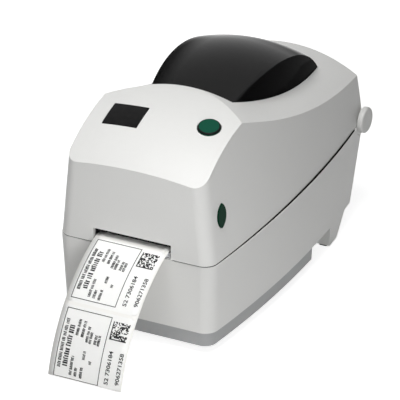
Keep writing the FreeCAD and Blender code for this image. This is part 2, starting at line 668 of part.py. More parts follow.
WEB = ("media_x - label_half", "media_x + label_half")
label_strip = web_strip("label_strip")
label_roll = tube("label_roll", ROLL, "roll", "core + fit", WEB)
roll_core = tube("roll_core", ROLL, "core", "core_bore", WEB)
RAILS = [(f"roll_y {sign} rail_apart / 2", "rail_z") for sign in "-+"]
roll_guide = join("roll_guide", *[box(f"rail_post_{side}", on_side(side, "40", "43"),
                                      ("roll_y - 20", "roll_y + 20"), ("floor_z", "26")) for side in SIDES],
                  *[rod(f"rail{index}", "x", "rail", "-43", "43", spot) for index, spot in enumerate(RAILS)])
arm_side = [("roll_y - 21", "18"), ("roll_y + 21", "18"), ("roll_y + 21", "27"), ("roll_y + 13", "64"),
            ("roll_y - 13", "64"), ("roll_y - 21", "27")]
holders = {}
for side, face, out in (("left", "media_x - label_half - hub_gap", "-"),
                        ("right", "media_x + label_half + hub_gap", "+")):
    ends = [face, f"{face} {out} arm"]
    hub_ends = [f"{face} {'+' if out == '-' else '-'} hub_reach", face]
    xs = ends if side == "right" else ends[::-1]
    hub_xs = hub_ends if side == "right" else hub_ends[::-1]
    body = join(f"holder_body_{side}", slab(f"holder_arm_{side}", arm_side, xs),
                rod(f"holder_disc_{side}", "x", "hub + 2", *xs, ROLL),
                rod(f"holder_hub_{side}", "x", "hub", *hub_xs, ROLL))
    holders[side] = cut(f"roll_holder_{side}", body,
                        *[rod(f"holder_bore_{side}{index}", "x", "rail + fit", "-60", "60", spot)
                          for index, spot in enumerate(RAILS)])

# Board and sockets at the back of the base

board_top = "board_z + board"
main_board = join("main_board", box("board_sheet", ("-40", "40"), ("board_y", "82"), ("board_z", board_top)),
                  box("heat_sink", ("-12", "4"), ("46", "60"), (board_top, "24")),
                  box("processor", ("10", "24"), ("46", "60"), (board_top, "21")),
                  rod("capacitor", "z", "4", board_top, "27", ("-24", "66")))
power_inlet = join("power_inlet", cut("inlet_body", join(
    "inlet_block", back_box("inlet_core", ("-36", "-24"), ("-12", "0.5"), ("23", "35")),
    back_box("inlet_rim", ("-37", "-23"), ("0", "1.2"), ("22", "36"))),
    back_rod("inlet_bore", "3.2", ("-9", "3"), "-30", "29")),
    back_rod("inlet_pin", "1", ("-9.5", "-0.8"), "-30", "29"))
usb_socket = join("usb_socket", cut(
    "usb_shell", back_box("usb_block", ("-14", "-2"), ("-14", "0.6"), ("23", "34")),
    back_box("usb_room", ("-12.2", "-3.8"), ("-9", "2"), ("24.8", "32.2"))),
    back_box("usb_tongue", ("-10.5", "-5.5"), ("-9.5", "-1.2"), ("27.2", "29.8")))
serial_pins = [back_rod(f"serial_pin{index}", "0.5", ("0.4", "4.6"), f"{12.8 + 1.7 * index}",
                        "30.2" if index % 2 == 0 else "27.4") for index in range(9)]
serial_nuts = [cut(f"serial_nut{index}", back_rod(f"serial_post{index}", "2.4", ("0.4", "4.4"), x, "28.8"),
                   back_rod(f"serial_thread{index}", "1.3", ("1", "6"), x, "28.8"))
               for index, x in enumerate(("7.3", "31.7"))]
serial_port = join("serial_port", back_box("serial_back", ("9", "30"), ("-8", "0.4"), ("24", "33.6")),
                   back_box("serial_plate", ("4", "35"), ("0", "0.8"), ("22.6", "35")),
                   cut("serial_skirt", back_box("serial_block", ("11", "28"), ("0.4", "5.5"), ("24.6", "33")),
                       back_box("serial_room", ("11.8", "27.2"), ("0.8", "7"), ("25.4", "32.2"))),
                   *serial_pins, *serial_nuts)
ROCKER = (f"base_foot_rear + rocker_s * {BACK_SIN} - 3 * {BACK_COS}",
          f"rocker_s * {BACK_COS} + 3 * {BACK_SIN}")
rocker_bar = rod("rocker_bar", "x", "1", "rocker_x - 5.2", "rocker_x + 5.2", ROCKER)
rocker_block = slab("rocker_block", [("-2", "-2"), ("3.2", "-3"), ("2.3", "0"), ("3.2", "3"), ("-2", "2")],
                    ("rocker_x - 3.9", "rocker_x + 3.9"))
at_back(rocker_block, "0", "-3", "rocker_s", -number("rocker_tilt"))
power_rocker = join("power_rocker", rocker_block, rocker_bar)
switch_frame = join("switch_frame", back_box("switch_core", ("rocker_x - 6", "rocker_x + 6"), ("-10", "0.5"),
                                             ("rocker_s - 5", "rocker_s + 5")),
                    back_box("switch_rim", ("rocker_x - 7", "rocker_x + 7"), ("0", "1"),
                             ("rocker_s - 5.8", "rocker_s + 5.8")))
switch_body = cut("switch_body", switch_frame,
                  back_box("switch_room", ("rocker_x - 4.3", "rocker_x + 4.3"), ("-7", "3"),
                           ("rocker_s - 3.95", "rocker_s + 3.95")),
                  rod("rocker_bore", "x", "1 + fit", "rocker_x - 5.3", "rocker_x + 5.3", ROCKER))

# Lid casing

lid_outer = lid_form("lid_outer", "0")
top_outer = top_form("top_outer", "0")
lid_solid = meet("lid_solid", lid_outer, panel_form("panel_outer", "0"), top_outer,
                 split_form("above_split", True))
lid_hollow = meet("lid_hollow", lid_form("lid_inner", "wall"), panel_form("panel_inner", "wall"),
                  top_form("top_inner", "wall"))
barrel = meet("lid_barrel", rod("barrel_bar", "x", "barrel", "-60", "60", HINGE), lid_outer, top_outer)
RIBS = {"left": ("frame_left - 1.7", "frame_left"), "right": ("frame_right", "frame_right + 1.7")}
ribs = []
for side, xs in RIBS.items():
    for index, ys in enumerate((("-95", "-85"), ("-50", "-45"))):
        rib_block = box(f"rib_block_{side}{index}", xs, ys, ("94", "140"))
        ribs.append(meet(f"rib_{side}{index}", lid_solid, rib_block))
seats = [meet(f"seat_{side}", lid_solid, box(f"seat_block_{side}", on_side(side, "seat_x - 1.5", "seat_x"),
                                             ("latch_y - 3.5", "latch_y + 3.5"), ("latch_z - 3.5", "140")))
         for side in SIDES]
button_posts = [button_rod(f"button_post{index}", "1.8", -11.2, -1.5, x, y)
                for index, (x, y) in enumerate((x, y) for x in (-9, 9) for y in (-9, 9))]
lid_body = join("lid_body", cut("lid_raw", lid_solid, lid_hollow), barrel, *ribs, *seats, *button_posts)
ear_slots = [rod(f"ear_slot_{side}", "x", "ear_room", *on_side(side, "ear_in - ear_gap", "ear_out + ear_gap"),
                 HINGE) for side in SIDES]
pin_bores = [rod(f"pin_bore_{side}", "x", "pin + fit", *on_side(side, "ear_in - ear_gap - 1", "60"), HINGE)
             for side in SIDES]
latch_holes = [almond(f"latch_hole_{side}", on_side(side, "36", "60"), "hole_gap") for side in SIDES]
BADGE_X = ("badge_x - badge_wide / 2", "badge_x + badge_wide / 2")
BADGE_Y = ("badge_y - badge_deep / 2", "badge_y + badge_deep / 2")
badge_hole = cut("badge_hole", box("badge_room", (f"{BADGE_X[0]} - 0.25", f"{BADGE_X[1]} + 0.25"),
                                   (f"{BADGE_Y[0]} - 0.25", f"{BADGE_Y[1]} + 0.25"), ("100", "140")),
                 panel_form("badge_floor", "badge_sunk"))
window_hole = window_block("window_hole", "win_gap", ("88", "150"))
label_slot = box("label_slot", ("media_x - slot_half", "media_x + slot_half"), ("-110", "-98"),
                 ("40", "slot_z"))
lid_shell = cut("lid_shell", lid_body, window_hole, label_slot, badge_hole,
                button_rod("button_hole", "button + hole_gap", -6, 6), *latch_holes, *ear_slots, *pin_bores)

# Window, badge and hinge pins

window_outer = meet("window_outer", dome_form("dome_outer", "0"),
                    window_block("window_walls", "0", ("85", "140")))
window_inner = meet("window_inner", dome_form("dome_inner", "win_wall"),
                    window_block("window_room", "(0 - win_wall)", ("80", "140")))
window = cut("window", window_outer, window_inner, top_form("window_foot", "5"))
badge_plate = cut("badge_plate", meet("badge_block", box("badge_span", BADGE_X, BADGE_Y, ("100", "140")),
                                      panel_form("badge_face", "(0 - 0.3)")),
                  panel_form("badge_back", "(badge_sunk - 0.1)"))
hinge_pins = {}
doc.recompute()
for side in SIDES:
    bar = rod(f"pin_bar_{side}", "x", "pin", *on_side(side, "ear_in - ear_gap - 0.9", "knob_in + 0.5"), HINGE)
    cap = rod(f"pin_cap_{side}", "x", "knob", *on_side(side, "knob_in", "knob_out"), HINGE)
    doc.recompute()
    rims = [abs(edge.BoundBox.Center.x) for edge in cap.Shape.Edges]
    rounded = doc.addObject("Part::Fillet", f"pin_knob_{side}")
    rounded.Base = cap
    rounded.Edges = [(rims.index(max(rims)) + 1, number("knob_round"), number("knob_round"))]
    hinge_pins[side] = join(f"hinge_pin_{side}", bar, rounded)

# Feed button with its board, and the side latches

feed_button = turned("feed_button", [
    ("0", "button_proud"), ("button - 0.8", "button_proud"), ("button", "button_proud - 0.8"),
    ("button", "-3.4"), ("button + 1.7", "-3.4"), ("button + 1.7", "-5"), ("2.5", "-5"), ("2.5", "-7"),
    ("0", "-7")], [("0", "-10"), ("0", "10")], 360, {1: ("0.8", 1)})
at_button(feed_button, 0, 0, 0)
tact_switch = button_box("tact_switch", 6, -11.2, -8.7)
control_board = button_box("control_board", 22, -12.8, -11.2)
lid_proud = lid_form("lid_proud", "(0 - 0.8)")
latches = {}
latch_springs = {}
for side in SIDES:
    xs = on_side(side, "latch_in", "latch_arm")
    oval = almond(f"latch_block_{side}", on_side(side, "latch_in", "60"), "0")
    face = meet(f"latch_face_{side}", oval, lid_proud)
    flange = box(f"latch_flange_{side}", xs, ("latch_y - 6.5", "latch_y + 6.5"),
                 ("latch_z - 8.5", "latch_z + 8.5"))
    arm = box(f"latch_arm_{side}", xs, ("latch_y - 2.5", "latch_y + 2.5"), ("49", "latch_z - 8"))
    latches[side] = join(f"latch_{side}", face, flange, arm)
    latch_springs[side] = tube(f"latch_spring_{side}", ("latch_y", "latch_z"), "spring", "spring - 0.6",
                               on_side(side, "seat_x", "latch_in"))

# Ribbon frame, print head and ribbon under the lid

frame_side = [("-97", "70"), ("-45", "70"), ("-44", "104"), ("-96", "101")]
ribbon_frame = cut("ribbon_frame", join(
    "ribbon_body", slab("ribbon_left", frame_side, ("frame_left", "frame_left + plate")),
    slab("ribbon_right", frame_side, ("frame_right - plate", "frame_right")),
    box("spring_bar", ("frame_left", "frame_right"), ("-95", "-80"), ("seat_z", "seat_z + 2"))),
    *[rod(f"ribbon_bore{index}", "x", f"{size} + fit", "-40", "40", spot)
      for index, (size, spot) in enumerate((("spindle", SUPPLY), ("spindle", TAKEUP), ("head_pin", HEAD)))])
head_pivot = rod("head_pivot", "x", "head_pin", "frame_left", "frame_right", HEAD)
HEAD_X = ("frame_left + plate + 1", "frame_right - plate - 1")
bracket_side = [("-95.5", "head_top"), ("-78", "head_top"), ("-67.5", "71.5"), ("-67.5", "75"),
                ("-72.5", "75"), ("-80", "head_top + 2"), ("-95.5", "head_top + 2")]
bracket_body = join("bracket_body", slab("bracket_plate", bracket_side, HEAD_X),
                    rod("bracket_hub", "x", "3.5", *HEAD_X, HEAD))
head_bracket = cut("head_bracket", bracket_body,
                   rod("bracket_bore", "x", "head_pin + fit", "-40", "40", HEAD))
print_head = box("print_head", (f"{HEAD_X[0]} + 0.3", f"{HEAD_X[1]} - 0.3"), ("-95", "-79"),
                 ("head_foot", "head_top"))
head_sleeves = []
for x in ("-14", "11"):
    sleeve = rod(f"sleeve_bar{x}", "z", "spring", "head_top + 2", "seat_z", (x, "-88"))
    sleeve_bore = rod(f"sleeve_bore{x}", "z", "spring - 0.6", "head_top", "seat_z + 2", (x, "-88"))
    head_sleeves.append(cut(f"head_sleeve{x}", sleeve, sleeve_bore))
head_springs = group("head_springs", *head_sleeves)
SPINDLE_X = ("frame_left + 0.3", "frame_right - 0.3")
RIBBON_X = ("media_x - 20.8", "media_x + 20.8")
supply_spindle = rod("supply_spindle", "x", "spindle", *SPINDLE_X, SUPPLY)
takeup_spindle = rod("takeup_spindle", "x", "spindle", *SPINDLE_X, TAKEUP)
supply_ribbon = tube("supply_ribbon", SUPPLY, "supply", "spindle + fit", RIBBON_X)
takeup_ribbon = tube("takeup_ribbon", TAKEUP, "takeup", "spindle + fit", RIBBON_X)

# Every sub-part is checked and written under its own name

doc.recompute()
parts = [base_shell, plinth, rubber_feet, base_screws, mech_frame, platen_roller, platen_shaft,
         platen_bush_left, platen_bush_right, platen_gear, idler_gear, idler_axle, motor_pinion,
         stepper_motor, tear_bar, media_sensor, label_strip, label_roll, roll_core, roll_guide,
         *holders.values(), main_board, power_inlet, usb_socket, serial_port, switch_body, power_rocker,
         lid_shell, window, badge_plate, *hinge_pins.values(), feed_button, tact_switch, control_board,
         *latches.values(), *latch_springs.values(), ribbon_frame, head_pivot, head_bracket, print_head,
         head_springs, supply_spindle, takeup_spindle, supply_ribbon, takeup_ribbon]
for item in doc.Objects:
    if "Invalid" in item.State or "Error" in item.State:
        raise RuntimeError(f"{item.Label} did not build: {item.State}")
os.makedirs("parts", exist_ok=True)
for part in parts:
    shape = part.Shape
    if shape.isNull() or not shape.isValid() or not shape.Solids:
        raise RuntimeError(f"{part.Label} has no valid solid")
    shape.exportStep(f"parts/{part.Label}.step")
print(f"{len(parts)} sub-parts written")
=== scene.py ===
import json
import math

import bmesh
import bpy
import numpy as np
from mathutils import Matrix


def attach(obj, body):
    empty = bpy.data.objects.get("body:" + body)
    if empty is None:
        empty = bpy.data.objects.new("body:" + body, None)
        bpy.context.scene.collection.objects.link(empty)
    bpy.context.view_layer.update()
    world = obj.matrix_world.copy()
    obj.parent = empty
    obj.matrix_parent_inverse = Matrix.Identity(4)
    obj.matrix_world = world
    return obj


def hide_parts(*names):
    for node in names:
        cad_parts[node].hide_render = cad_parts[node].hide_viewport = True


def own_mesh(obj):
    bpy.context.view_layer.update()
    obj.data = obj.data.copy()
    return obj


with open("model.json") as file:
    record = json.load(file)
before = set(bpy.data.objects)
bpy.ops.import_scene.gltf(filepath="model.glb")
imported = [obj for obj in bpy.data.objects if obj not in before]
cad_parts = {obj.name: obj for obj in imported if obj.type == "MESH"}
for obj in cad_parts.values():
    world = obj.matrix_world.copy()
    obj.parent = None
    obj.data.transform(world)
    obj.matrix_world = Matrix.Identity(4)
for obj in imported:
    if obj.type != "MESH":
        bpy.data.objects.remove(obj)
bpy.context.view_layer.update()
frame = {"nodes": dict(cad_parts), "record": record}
mm = 0.001
print("frame loaded:", len(frame["nodes"]), "nodes")


def shade(red, green, blue):
    # screen value 0-255 turned into the linear light that a colour socket takes
    part = np.array([red, green, blue]) / 255
    light = np.where(part <= 0.04045, part / 12.92, ((part + 0.055) / 1.055) ** 2.4)
    return (float(light[0]), float(light[1]), float(light[2]), 1.0)


def toned(colour, gain):
    return (colour[0] * gain, colour[1] * gain, colour[2] * gain, 1.0)


# small helpers for shader trees
def addNode(tree, kind, settings=None, sockets=None):
    node = tree.nodes.new(kind)
    for key, value in (settings or {}).items():
        setattr(node, key, value)
    for key, value in (sockets or {}).items():
        if isinstance(value, bpy.types.NodeSocket):
            tree.links.new(value, node.inputs[key])
        else:
            node.inputs[key].default_value = value
    return node


def sums(tree, operation, first, second=0.0):
    node = addNode(tree, "ShaderNodeMath", {"operation": operation}, {0: first, 1: second})
    return node.outputs[0]


def blendColours(tree, factor, first, second):
    mixer = addNode(tree, "ShaderNodeMix", {"data_type": "RGBA"}, {0: factor, 6: first, 7: second})
    return mixer.outputs[2]


def noise(tree, vector, scale, detail=2.0):
    return addNode(tree, "ShaderNodeTexNoise", None,
                   {"Vector": vector, "Scale": scale, "Detail": detail}).outputs[0]


def newGroup(name, inputs, outputs):
    group = bpy.data.node_groups.new(name, "ShaderNodeTree")
    for label, value in inputs.items():
        socket = group.interface.new_socket(label, in_out="INPUT", socket_type="NodeSocketFloat")
        socket.default_value = value
    for label in outputs:
        group.interface.new_socket(label, in_out="OUTPUT", socket_type="NodeSocketFloat")
    given = group.nodes.new("NodeGroupInput").outputs
    return group, given, group.nodes.new("NodeGroupOutput").inputs


def useGroup(tree, name, values):
    group = bpy.data.node_groups[name]
    return addNode(tree, "ShaderNodeGroup", {"node_tree": group}, values).outputs


def makeMouldedGrain():
    # spark-eroded mould texture: fine grain for the height, slow drift for tone and gloss
    group, given, out = newGroup("mouldedGrain", {"Scale": 1500.0, "Rough": 0.45, "Spread": 0.12},
                                 ["Tone", "Roughness", "Height"])
    spot = addNode(group, "ShaderNodeTexCoord").outputs["Object"]
    driftScale, patchScale = 26.0, 150.0
    fineShare, driftShare = 0.3, 0.7
    fine = noise(group, spot, given["Scale"], 3.0)
    drift = noise(group, spot, driftScale)
    patch = noise(group, spot, patchScale, 3.0)
    tone = sums(group, "ADD", sums(group, "MULTIPLY", fine, fineShare),
                sums(group, "MULTIPLY", drift, driftShare))
    swing = sums(group, "MULTIPLY", sums(group, "SUBTRACT", patch, 0.5), given["Spread"])
    group.links.new(tone, out["Tone"])
    group.links.new(sums(group, "ADD", given["Rough"], swing), out["Roughness"])
    group.links.new(fine, out["Height"])


def makeBrushedLines():
    # drawn or ground metal: noise pulled long across the printer's width
    group, given, out = newGroup("brushedLines", {"Rough": 0.3, "Spread": 0.2},
                                 ["Tone", "Roughness", "Height"])
    spot = addNode(group, "ShaderNodeTexCoord").outputs["Object"]
    pull, driftScale = (40.0, 2600.0, 2600.0), 60.0
    pulled = addNode(group, "ShaderNodeMapping", None, {"Vector": spot, "Scale": pull})
    lines = noise(group, pulled.outputs[0], 1.0, 3.0)
    drift = noise(group, spot, driftScale)
    swing = sums(group, "MULTIPLY", sums(group, "SUBTRACT", lines, 0.5), given["Spread"])
    group.links.new(sums(group, "MULTIPLY", sums(group, "ADD", lines, drift), 0.5), out["Tone"])
    group.links.new(sums(group, "ADD", given["Rough"], swing), out["Roughness"])
    group.links.new(lines, out["Height"])


def makePaperFibre():
    # coated paper: short fibres under a faint cloudiness
    group, given, out = newGroup("paperFibre", {"Scale": 1100.0}, ["Tone", "Height"])
    spot = addNode(group, "ShaderNodeTexCoord").outputs["Object"]
    cloudScale = 70.0
    fibre = noise(group, spot, given["Scale"], 5.0)
    cloud = noise(group, spot, cloudScale)
    group.links.new(sums(group, "MULTIPLY", sums(group, "ADD", fibre, cloud), 0.5), out["Tone"])
    group.links.new(fibre, out["Height"])


def makeWindingLines():
    # layers seen on the end of a winding: noise along the distance from its axis, which runs in X
    group, given, out = newGroup("windingLines", {"CentreY": 0.0, "CentreZ": 0.0, "Pitch": 0.0003},
                                 ["Tone", "Height"])
    spot = addNode(group, "ShaderNodeTexCoord").outputs["Object"]
    axes = addNode(group, "ShaderNodeSeparateXYZ", None, {0: spot}).outputs
    across = sums(group, "SUBTRACT", axes[1], given["CentreY"])
    above = sums(group, "SUBTRACT", axes[2], given["CentreZ"])
    square = sums(group, "ADD", sums(group, "MULTIPLY", across, across),
                  sums(group, "MULTIPLY", above, above))
    turn = sums(group, "DIVIDE", sums(group, "SQRT", square), given["Pitch"])
    layer = addNode(group, "ShaderNodeTexNoise", {"noise_dimensions": "1D"},
                    {"W": turn, "Scale": 1.0, "Detail": 2.0}).outputs[0]
    group.links.new(layer, out["Tone"])
    group.links.new(layer, out["Height"])


def makeDustFilm():
    # dust settles on faces that look up, in loose patches
    group, given, out = newGroup("dustFilm", {"Amount": 0.2}, ["Mask"])
    places = addNode(group, "ShaderNodeTexCoord").outputs
    up = addNode(group, "ShaderNodeSeparateXYZ", None, {0: places["Normal"]}).outputs[2]
    facing = sums(group, "MAXIMUM", up, 0.0)
    patchScale, sharpness = 320.0, 2.0
    patch = sums(group, "POWER", noise(group, places["Object"], patchScale, 5.0), sharpness)
    mask = sums(group, "MULTIPLY", sums(group, "MULTIPLY", facing, patch), given["Amount"])
    group.links.new(mask, out["Mask"])


for makeOne in (makeMouldedGrain, makeBrushedLines, makePaperFibre, makeWindingLines, makeDustFilm):
    makeOne()
print("shader groups:", [group.name for group in bpy.data.node_groups])


dustColour = (168, 164, 156)


def newFinish(name):
    finish = bpy.data.materials.new(name)
    finish.use_nodes = True
    return finish, finish.node_tree, finish.node_tree.nodes["Principled BSDF"]


def bumpInto(tree, shader, height, depth, strength):
    bump = addNode(tree, "ShaderNodeBump", None,
                   {"Height": height, "Distance": depth * mm, "Strength": strength})
    tree.links.new(bump.outputs[0], shader.inputs["Normal"])


def plasticFinish(name, look):
    finish, tree, shader = newFinish(name)
    colour = shade(*look["colour"])
    spread = look.get("drift", 0.04)
    grain = useGroup(tree, "mouldedGrain", {"Scale": look.get("grain", 1500.0),
                                            "Rough": look["rough"], "Spread": 0.12})
    tint = blendColours(tree, grain["Tone"], toned(colour, 1 - spread), toned(colour, 1 + spread))
    if look.get("dust"):
        dust = useGroup(tree, "dustFilm", {"Amount": look["dust"]})
        tint = blendColours(tree, dust["Mask"], tint, shade(*dustColour))
    tree.links.new(tint, shader.inputs["Base Color"])
    tree.links.new(grain["Roughness"], shader.inputs["Roughness"])
    shader.inputs["Specular IOR Level"].default_value = look.get("gloss", 0.5)
    shader.inputs["Coat Weight"].default_value = look.get("coat", 0.0)
    bumpInto(tree, shader, grain["Height"], look.get("depth", 0.03), strength=0.5)
    return finish


def metalFinish(name, look):
    finish, tree, shader = newFinish(name)
    colour = shade(*look["colour"])
    dark, pale = 0.86, 1.08
    lines = useGroup(tree, "brushedLines", {"Rough": look["rough"], "Spread": 0.15})
    tint = blendColours(tree, lines["Tone"], toned(colour, dark), toned(colour, pale))
    tree.links.new(tint, shader.inputs["Base Color"])
    tree.links.new(lines["Roughness"], shader.inputs["Roughness"])
    shader.inputs["Metallic"].default_value = 1.0
    bumpInto(tree, shader, lines["Height"], depth=0.01, strength=0.4)
    return finish


def paperFinish(name, look):
    finish, tree, shader = newFinish(name)
    colour = shade(*look["colour"])
    fibre = useGroup(tree, "paperFibre", {"Scale": look.get("grain", 1100.0)})
    dark, pale = 0.965, 1.02
    tint = blendColours(tree, fibre["Tone"], toned(colour, dark), toned(colour, pale))
    tree.links.new(tint, shader.inputs["Base Color"])
    shader.inputs["Roughness"].default_value = look["rough"]
    bumpInto(tree, shader, fibre["Height"], look.get("depth", 0.012), strength=0.5)
    return finish


def windingFinish(name, look):
    finish, tree, shader = newFinish(name)
    colour = shade(*look["colour"])
    centreY, centreZ = look["centre"]
    layers = useGroup(tree, "windingLines", {"CentreY": centreY * mm, "CentreZ": centreZ * mm,
                                             "Pitch": look["pitch"] * mm})
    pale = 1.03
    tint = blendColours(tree, layers["Tone"], toned(colour, look["dark"]), toned(colour, pale))
    tree.links.new(tint, shader.inputs["Base Color"])
    shader.inputs["Roughness"].default_value = look["rough"]
    bumpInto(tree, shader, layers["Height"], depth=0.05, strength=0.5)
    return finish


def smokedFinish(name, look):
    # tinted clear plastic: see-through by its alpha, darker where it is looked at along its face
    # because the light then crosses more of it, with faint wiping marks in the gloss
    finish, tree, shader = newFinish(name)
    wipeScale, wipedDust = 90.0, (120, 118, 114)
    grain = useGroup(tree, "mouldedGrain", {"Scale": wipeScale, "Rough": look["rough"],
                                            "Spread": look["patch"]})
    dust = useGroup(tree, "dustFilm", {"Amount": look["dust"]})
    tint = blendColours(tree, dust["Mask"], shade(*look["colour"]), shade(*wipedDust))
    tree.links.new(tint, shader.inputs["Base Color"])
    tree.links.new(grain["Roughness"], shader.inputs["Roughness"])
    slant = addNode(tree, "ShaderNodeLayerWeight", None, {"Blend": 0.5}).outputs["Facing"]
    cover = addNode(tree, "ShaderNodeMapRange", None,
                    {"Value": slant, "From Min": 0.2, "From Max": 0.7,
                     "To Min": look["alpha"], "To Max": 1.0})
    tree.links.new(cover.outputs[0], shader.inputs["Alpha"])
    # polished middle of the dome, duller at its left and rear edges and on the moulded side walls:
    # one share for each part of the direction that the face looks in, multiplied together
    facing = addNode(tree, "ShaderNodeTexCoord").outputs["Normal"]
    tilt = addNode(tree, "ShaderNodeSeparateXYZ", None, {0: facing}).outputs
    polish = look["polish"]
    for axis, none, full in (("Z", 0.5, 0.85), ("X", -0.26, -0.16), ("Y", 0.36, 0.26)):
        share = addNode(tree, "ShaderNodeMapRange", None,
                        {"Value": tilt[axis], "From Min": none, "From Max": full})
        polish = sums(tree, "MULTIPLY", share.outputs[0], polish)
    tree.links.new(polish, shader.inputs["Coat Weight"])
    shader.inputs["Specular IOR Level"].default_value = look["gloss"]
    return finish


def boardFinish(name, look):
    # lacquered circuit board: copper runs show as paler bands under the green
    finish, tree, shader = newFinish(name)
    spot = addNode(tree, "ShaderNodeTexCoord").outputs["Object"]
    cells = addNode(tree, "ShaderNodeTexBrick", None,
                    {"Vector": spot, "Scale": 190.0, "Mortar Size": 0.03})
    runs, pale = cells.outputs["Fac"], 1.8
    colour = shade(*look["colour"])
    tint = blendColours(tree, runs, colour, toned(colour, pale))
    tree.links.new(tint, shader.inputs["Base Color"])
    shader.inputs["Roughness"].default_value = look["rough"]
    bumpInto(tree, shader, runs, depth=0.03, strength=0.4)
    return finish


finishLooks = {
    "casing": (plasticFinish, {
        "colour": (226, 226, 224), "rough": 0.42, "grain": 1300.0, "depth": 0.03, "drift": 0.025,
        "dust": 0.05, "gloss": 0.28}),
    "plinth_grey": (plasticFinish, {
        "colour": (164, 165, 166), "rough": 0.5, "grain": 1300.0, "dust": 0.05}),
    "smoked_window": (smokedFinish, {
        "colour": (4, 4, 5), "rough": 0.08, "patch": 0.06, "dust": 0.06, "alpha": 0.68,
        "gloss": 0.004, "polish": 0.4}),
    "button_green": (plasticFinish, {
        "colour": (16, 76, 58), "rough": 0.3, "grain": 900.0, "depth": 0.015, "gloss": 0.06}),
    "latch_green": (plasticFinish, {
        "colour": (8, 48, 32), "rough": 0.34, "grain": 900.0, "depth": 0.015, "gloss": 0.03}),
    "badge_black": (plasticFinish, {
        "colour": (16, 16, 17), "rough": 0.3, "grain": 700.0, "depth": 0.01, "dust": 0.03,
        "gloss": 0.06}),
    "black_plastic": (plasticFinish, {"colour": (30, 30, 31), "rough": 0.5, "dust": 0.15}),
    "grey_plastic": (plasticFinish, {"colour": (72, 74, 77), "rough": 0.5, "dust": 0.12}),
    "gear_white": (plasticFinish, {"colour": (232, 229, 220), "rough": 0.4, "grain": 800.0}),
    "foot_rubber": (plasticFinish, {
        "colour": (38, 38, 38), "rough": 0.8, "grain": 2200.0, "depth": 0.06, "dust": 0.2,
        "gloss": 0.25}),
    "platen_rubber": (plasticFinish, {
        "colour": (52, 52, 53), "rough": 0.7, "grain": 2600.0, "depth": 0.04, "dust": 0.2,
        "gloss": 0.3}),
    "plated_steel": (metalFinish, {"colour": (196, 198, 200), "rough": 0.34}),
    "steel": (metalFinish, {"colour": (188, 189, 191), "rough": 0.26}),
    "brass": (metalFinish, {"colour": (206, 176, 110), "rough": 0.28}),
    "motor_black": (plasticFinish, {
        "colour": (34, 34, 36), "rough": 0.38, "grain": 500.0, "coat": 0.2}),
    "head_aluminium": (metalFinish, {"colour": (206, 207, 208), "rough": 0.38}),
    "label_paper": (paperFinish, {"colour": (246, 246, 244), "rough": 0.5}),
    "card": (paperFinish, {
        "colour": (170, 140, 104), "rough": 0.85, "grain": 420.0, "depth": 0.05}),
    "board_green": (boardFinish, {"colour": (18, 84, 48), "rough": 0.3}),
    "ribbon_black": (windingFinish, {
        "colour": (22, 22, 24), "rough": 0.32, "centre": (-55, 88), "pitch": 0.2, "dark": 0.6}),
    "takeup_black": (windingFinish, {
        "colour": (22, 22, 24), "rough": 0.32, "centre": (-84, 92), "pitch": 0.2, "dark": 0.6}),
    "roll_white": (windingFinish, {
        "colour": (240, 239, 235), "rough": 0.6, "centre": (14, 73), "pitch": 0.35, "dark": 0.82}),
    "liner": (paperFinish, {"colour": (243, 242, 238), "rough": 0.38}),
    # near-black matt finish for the pieces that stand in as painted shade in the joint and the
    # label slot
    "painted_shade": (plasticFinish, {
        "colour": (20, 20, 20), "rough": 0.95, "grain": 3000.0, "depth": 0.08, "gloss": 0.05}),
    "ink": (paperFinish, {"colour": (20, 20, 21), "rough": 0.55}),
}
finishes = {name: make(name, look) for name, (make, look) in finishLooks.items()}

for row in frame["record"]["subparts"]:
    mesh = frame["nodes"][row["node"]].data
    mesh.materials.clear()
    mesh.materials.append(finishes[row["material_slot"]])
print("finishes:", len(finishes))


# mesh helpers
def gridFaces(rows, columns, closeRows=False, closeColumns=False):
    # quads of a grid whose points are numbered row by row
    row = np.arange(rows if closeRows else rows - 1)[:, None]
    column = np.arange(columns if closeColumns else columns - 1)[None, :]
    nextRow, nextColumn = (row + 1) % rows, (column + 1) % columns
    corners = [row * columns + column, row * columns + nextColumn,
               nextRow * columns + nextColumn, nextRow * columns + column]
    return np.stack(np.broadcast_arrays(*corners), -1).reshape(-1, 4)


def addPiece(name, points, faces, finish, body, smooth=True, outward=False):
    mesh = bpy.data.meshes.new(name)
    mesh.from_pydata(np.asarray(points).reshape(-1, 3).tolist(), [], [list(face) for face in faces])
    if outward:
        shell = bmesh.new()
        shell.from_mesh(mesh)
        bmesh.ops.recalc_face_normals(shell, faces=shell.faces)
        shell.to_mesh(mesh)
        shell.free()
    mesh.polygons.foreach_set("use_smooth", np.full(len(mesh.polygons), smooth))
    mesh.materials.append(finishes[finish])
    mesh.update()
    piece = bpy.data.objects.new(name, mesh)
    bpy.context.scene.collection.objects.link(piece)
    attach(piece, body)
    return piece


# label web: backing paper, labels on it and their print
web = {"left": -23.7, "right": 21.3, "rollCentre": (14.0, 73.0), "rollReach": 50.55,
       "platenCentre": (-88.0, 52.9), "platenReach": 7.55, "bendCentre": (-101.0, 46.45),
       "bendReach": 14.0, "hangReach": 88.0, "leanStart": 110.0, "leanTurn": 54.0, "backing": 0.12,
       "labelThick": 0.09, "labelEnd": 148.0, "labelPitch": 44.0, "labelLong": 42.2,
       "labelInset": 0.9, "cornerRound": 2.0, "labels": 4, "faceLift": 0.05, "clear": 0.01,
       "endSpare": 0.3, "rows": 300, "columns": 13, "labelRows": 70, "cornerRows": 7,
       "bendRows": 24, "hangRows": 160}


